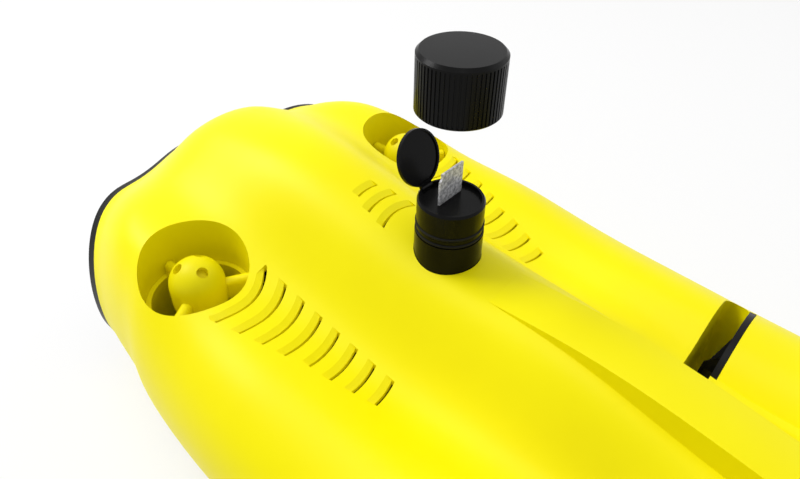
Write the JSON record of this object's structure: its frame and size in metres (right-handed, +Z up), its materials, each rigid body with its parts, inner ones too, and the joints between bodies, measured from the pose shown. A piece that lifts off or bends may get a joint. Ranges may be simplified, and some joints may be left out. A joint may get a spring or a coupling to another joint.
{
  "type": "underwater inspection rov",
  "caption": "Small hand-launched underwater inspection craft with a moulded shell, ducted thrusters, a nose camera and a screw-capped card canister.",
  "frame": {"origin": "middle of the craft's length and width, on the plane its skids stand on", "axes": "+X to port, +Y aft so the nose points to -Y, +Z up"},
  "size_m": [0.2262, 0.385, 0.1962],
  "materials": {
    "yellow_shell": "gloss",
    "yellow_moulding": "gloss",
    "black_moulding": "satin",
    "black_propeller": "satin",
    "black_canister": "satin",
    "motor_can": "anodised",
    "stainless_steel": "satin",
    "clear_window": "clear",
    "lens_black": "gloss",
    "reflector": "polished",
    "circuit_board": "matte",
    "seal_rubber": "matte",
    "grey_card": "matte",
    "battery_wrap": "satin",
    "brass_insert": "satin",
    "weight_steel": "satin"
  },
  "bodies": {
    "hull": {"upper_shell": "yellow_shell", "lower_shell": "yellow_shell", "nose_mask": "black_moulding", "camera_bezel": "black_moulding", "camera_window": "clear_window", "camera_lens": "lens_black", "camera_board": "circuit_board", "camera_housing": "black_moulding", "lamp_lens_port": "clear_window", "lamp_lens_starboard": "clear_window", "lamp_cup_port": "reflector", "lamp_cup_starboard": "reflector", "lamp_board_port": "circuit_board", "lamp_board_starboard": "circuit_board", "electronics_housing": "black_moulding", "housing_seal": "seal_rubber", "housing_lid": "black_moulding", "battery_pack": "battery_wrap", "main_board": "circuit_board", "well_duct_port": "yellow_moulding", "well_duct_starboard": "yellow_moulding", "well_duct_rear": "yellow_moulding", "motor_spider_port": "yellow_moulding", "motor_spider_starboard": "yellow_moulding", "motor_spider_rear": "yellow_moulding", "motor_port": "motor_can", "motor_starboard": "motor_can", "motor_rear": "motor_can", "well_grilles": "black_moulding", "thrust_nozzle_port": "yellow_moulding", "thrust_nozzle_starboard": "yellow_moulding", "intake_guard_port": "black_moulding", "intake_guard_starboard": "black_moulding", "motor_thrust_port": "motor_can", "motor_thrust_starboard": "motor_can", "canister_body": "black_canister", "canister_seals": "seal_rubber", "canister_nut": "black_canister", "card_socket": "black_moulding", "lid_pin": "stainless_steel", "skid_port": "black_moulding", "skid_starboard": "black_moulding", "accessory_inserts": "brass_insert", "trim_weights": "weight_steel", "case_screws": "stainless_steel", "tether_socket": "black_moulding"},
    "propeller_port": {"propeller_port": "black_propeller", "propeller_shaft_port": "stainless_steel"},
    "propeller_starboard": {"propeller_starboard": "black_propeller", "propeller_shaft_starboard": "stainless_steel"},
    "propeller_rear": {"propeller_rear": "black_propeller", "propeller_shaft_rear": "stainless_steel"},
    "propeller_thrust_port": {"propeller_thrust_port": "black_propeller", "propeller_shaft_thrust_port": "stainless_steel"},
    "propeller_thrust_starboard": {"propeller_thrust_starboard": "black_propeller", "propeller_shaft_thrust_starboard": "stainless_steel"},
    "card": {"memory_card": "grey_card"},
    "lid": {"flip_lid": "black_canister"},
    "gasket": {"cap_gasket": "seal_rubber"},
    "cap": {"screw_cap": "black_canister"}
  },
  "joints": [
    {"name": "propeller_port_spin", "type": "hinge", "parent": "hull", "child": "propeller_port", "pos_m": [0.0696, -0.0952, 0.0606], "axis": [0, 0, 1], "continuous": true},
    {"name": "propeller_starboard_spin", "type": "hinge", "parent": "hull", "child": "propeller_starboard", "pos_m": [-0.0696, -0.0952, 0.0606], "axis": [0, 0, 1], "continuous": true},
    {"name": "propeller_rear_spin", "type": "hinge", "parent": "hull", "child": "propeller_rear", "pos_m": [0, 0.1555, 0.0486], "axis": [0, 0, 1], "continuous": true},
    {"name": "propeller_thrust_port_spin", "type": "hinge", "parent": "hull", "child": "propeller_thrust_port", "pos_m": [0.07, 0.1215, 0.0467], "axis": [0, 1, 0], "continuous": true},
    {"name": "propeller_thrust_starboard_spin", "type": "hinge", "parent": "hull", "child": "propeller_thrust_starboard", "pos_m": [-0.07, 0.1215, 0.0467], "axis": [0, 1, 0], "continuous": true},
    {"name": "cap_slide", "type": "slide", "parent": "hull", "child": "gasket", "axis": [0, 0, 1], "range_m": [-0.0569, 0]},
    {"name": "cap_turn", "type": "hinge", "parent": "gasket", "child": "cap", "pos_m": [0, -0.0125, 0.185], "axis": [0, 0, 1], "continuous": true},
    {"name": "lid_hinge", "type": "hinge", "parent": "hull", "child": "lid", "pos_m": [0, -0.025, 0.1347], "axis": [1, 0, 0], "range_deg": [-110, 0]},
    {"name": "card_slide", "type": "slide", "parent": "hull", "child": "card", "axis": [0, 0, 1], "range_m": [-0.0134, 0]}
  ],
  "couplings": [
    {"joint": "lid_hinge", "follows": "cap_slide", "rad_per_m": 33.74},
    {"joint": "card_slide", "follows": "cap_slide", "ratio": 0.2354}
  ]
}
